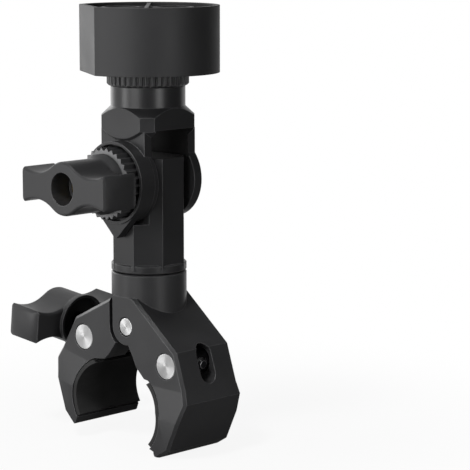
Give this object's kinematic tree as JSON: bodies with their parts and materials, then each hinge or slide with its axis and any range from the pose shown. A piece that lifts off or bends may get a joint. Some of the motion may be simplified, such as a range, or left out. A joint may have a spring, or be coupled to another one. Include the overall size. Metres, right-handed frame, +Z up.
{
  "type": "pipe clamp mount",
  "caption": "Screw clamp for a pipe with a swivelling post, a lockable tilting head, a ribbed lock ring and a D-shaped cup for an accessory.",
  "frame": {"origin": "on the post's axis, level with the middle of the gripped pipe", "axes": "+Z up along the post to the cup; Y along the pipe and the tilt axis, the tilt knob towards -Y; X along the clamp screw, its knob towards -X"},
  "size_m": [0.0911, 0.0706, 0.1673],
  "materials": {
    "casting": "die cast, satin black powder coat",
    "moulding": "fine moulded texture",
    "pad": "matte",
    "pin": "turned ends",
    "insert": "machined",
    "dark_screw": "black oxide"
  },
  "bodies": {
    "clamp": {"fixed_jaw": "casting", "fixed_pad": "pad", "pivot_pin": "pin", "swivel_washer": "moulding", "base_spring_washer": "dark_screw"},
    "moving_jaw": {"moving_jaw": "casting", "moving_pad": "pad"},
    "moving_trunnion": {"moving_trunnion": "pin"},
    "screw": {"clamp_screw": "dark_screw", "thrust_sleeve": "dark_screw", "clamp_knob": "moulding", "clamp_knob_insert": "insert"},
    "fixed_trunnion": {"fixed_trunnion": "pin"},
    "post": {"tilt_post": "casting", "base_screw": "dark_screw"},
    "head": {"clevis_head": "casting", "tilt_bolt": "pin", "cup_stud": "pin"},
    "tilt_knob": {"tilt_knob": "moulding", "tilt_knob_insert": "insert", "tilt_drum": "moulding", "tilt_thrust_washer": "pin"},
    "ring": {"lock_ring": "moulding"},
    "cup": {"cup_adapter": "moulding", "cup_insert": "insert"}
  },
  "joints": [
    {"name": "jaw_pivot", "type": "hinge", "parent": "clamp", "child": "moving_jaw", "pos_m": [0.0019, 0, 0.03235], "axis": [0, -1, 0], "range_deg": [-2, 36]},
    {"name": "moving_trunnion_turn", "type": "hinge", "parent": "moving_jaw", "child": "moving_trunnion", "pos_m": [-0.02167, 0, 0.0253], "axis": [0, -1, 0], "range_deg": [-19, 2]},
    {"name": "screw_spin", "type": "hinge", "parent": "moving_trunnion", "child": "screw", "pos_m": [-0.02167, 0, 0.0253], "axis": [0.9941, 0, -0.1089], "continuous": true},
    {"name": "fixed_trunnion_turn", "type": "hinge", "parent": "clamp", "child": "fixed_trunnion", "pos_m": [0.02338, 0, 0.02037], "axis": [0, -1, 0], "range_deg": [-2, 19]},
    {"name": "base_swivel", "type": "hinge", "parent": "clamp", "child": "post", "pos_m": [0, 0, 0.0527], "axis": [0, 0, 1], "continuous": true},
    {"name": "head_tilt", "type": "hinge", "parent": "post", "child": "head", "pos_m": [0, 0, 0.0873], "axis": [0, 1, 0], "range_deg": [-90, 90]},
    {"name": "tilt_knob_spin", "type": "hinge", "parent": "head", "child": "tilt_knob", "pos_m": [0, -0.03, 0.0873], "axis": [0, -1, 0], "continuous": true},
    {"name": "ring_spin", "type": "hinge", "parent": "head", "child": "ring", "pos_m": [0, 0, 0.1229], "axis": [0, 0, 1], "continuous": true},
    {"name": "cup_spin", "type": "hinge", "parent": "head", "child": "cup", "pos_m": [0, 0, 0.1276], "axis": [0, 0, 1], "continuous": true}
  ],
  "couplings": [
    {"joint": "moving_trunnion_turn", "follows": "jaw_pivot", "ratio": -0.5},
    {"joint": "fixed_trunnion_turn", "follows": "jaw_pivot", "ratio": 0.5}
  ]
}
